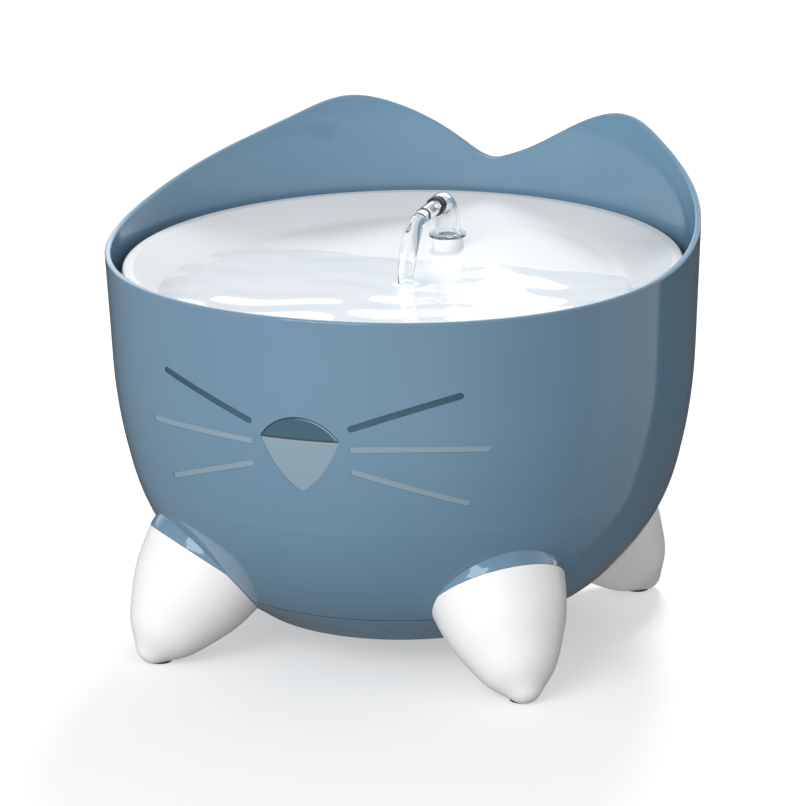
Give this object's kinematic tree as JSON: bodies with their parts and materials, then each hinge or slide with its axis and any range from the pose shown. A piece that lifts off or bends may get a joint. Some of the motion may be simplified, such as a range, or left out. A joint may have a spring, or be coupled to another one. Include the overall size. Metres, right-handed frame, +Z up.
{
  "type": "pet water fountain",
  "caption": "Round pet drinking fountain with a dish, gooseneck spout, reservoir, face-shaped level windows and feet, holding a small circulation pump and filter.",
  "frame": {"origin": "centre of the bounding box at the ground plane, on the axis of the bowl", "axes": "+Z up, +X to the right of the face seen from the front, -Y the way the face looks; X is the symmetry normal"},
  "size_m": [0.2264, 0.2265, 0.1815],
  "materials": {
    "blue_bowl": "semi-gloss moulded",
    "blue_cover": "semi-gloss moulded",
    "grommet_rubber": "matt",
    "nose_clear": "polished clear plastic",
    "whisker_clear": "polished clear plastic",
    "seal_silicone": "matt",
    "screw_steel": "stainless",
    "white_foot": "satin moulded",
    "pad_rubber": "matt",
    "white_tray": "semi-gloss moulded",
    "riser_plastic": "satin moulded",
    "collar_clear": "polished clear plastic",
    "elbow_clear": "polished clear plastic",
    "seal_rubber": "matt",
    "ring_rubber": "satin",
    "nozzle_clear": "polished clear plastic",
    "coupler_silicone": "translucent matt",
    "pump_plastic": "fine matt",
    "shaft_ceramic": "ground ceramic",
    "impeller_plastic": "moulded",
    "magnet_ferrite": "sintered",
    "stator_steel": "stacked sheets",
    "coil_copper": "enamelled wire",
    "cup_silicone": "matt",
    "basket_plastic": "moulded",
    "foam_black": "open foam",
    "cartridge_plastic": "moulded",
    "filter_fibre": "needled fibre",
    "carbon_granules": "granules"
  },
  "bodies": {
    "bowl": {"reservoir_bowl": "blue_bowl", "base_cover": "blue_cover", "cord_grommet": "grommet_rubber", "nose_window": "nose_clear", "whisker_windows": "whisker_clear", "nose_seal": "seal_silicone", "whisker_seals": "seal_silicone", "base_cover_screws": "screw_steel", "foot_screws": "screw_steel", "front_left_foot": "white_foot", "front_right_foot": "white_foot", "rear_left_foot": "white_foot", "rear_right_foot": "white_foot", "front_left_foot_pad": "pad_rubber", "front_right_foot_pad": "pad_rubber", "rear_left_foot_pad": "pad_rubber", "rear_right_foot_pad": "pad_rubber", "outlet_coupler": "coupler_silicone", "pump_housing": "pump_plastic", "pump_intake_cover": "pump_plastic", "pump_front_cap": "pump_plastic", "volute_seal": "seal_rubber", "shaft_bushes": "seal_rubber", "impeller_shaft": "shaft_ceramic", "pump_stator": "stator_steel", "pump_coil": "coil_copper", "lead_gland": "grommet_rubber", "suction_cups": "cup_silicone", "filter_housing": "basket_plastic", "foam_sleeve": "foam_black", "filter_grid": "basket_plastic"},
    "tray": {"drinking_tray": "white_tray", "riser_tube": "riser_plastic"},
    "spout_collar": {"spout_collar": "collar_clear"},
    "spout": {"spout_elbow": "elbow_clear", "spout_seal": "seal_rubber", "nozzle_o_ring": "ring_rubber", "nozzle": "nozzle_clear"},
    "filter": {"filter_frame": "cartridge_plastic", "filter_pad": "filter_fibre", "carbon_bed": "carbon_granules"},
    "impeller": {"impeller": "impeller_plastic", "rotor_magnet": "magnet_ferrite"}
  },
  "joints": [
    {"name": "tray_lift", "type": "slide", "parent": "bowl", "child": "tray", "axis": [0, 0, 1], "range_m": [0, 0.15]},
    {"name": "spout_lift", "type": "slide", "parent": "tray", "child": "spout_collar", "axis": [0, 0, 1], "range_m": [0, 0.04]},
    {"name": "spout_swivel", "type": "hinge", "parent": "spout_collar", "child": "spout", "pos_m": [0, 0.05, 0.1401], "axis": [0, 0, 1], "continuous": true},
    {"name": "filter_lift", "type": "slide", "parent": "bowl", "child": "filter", "axis": [0, 0, 1], "range_m": [0, 0.028]},
    {"name": "impeller_spin", "type": "hinge", "parent": "bowl", "child": "impeller", "pos_m": [0, 0.045, 0.0531], "axis": [0, 1, 0], "continuous": true}
  ]
}
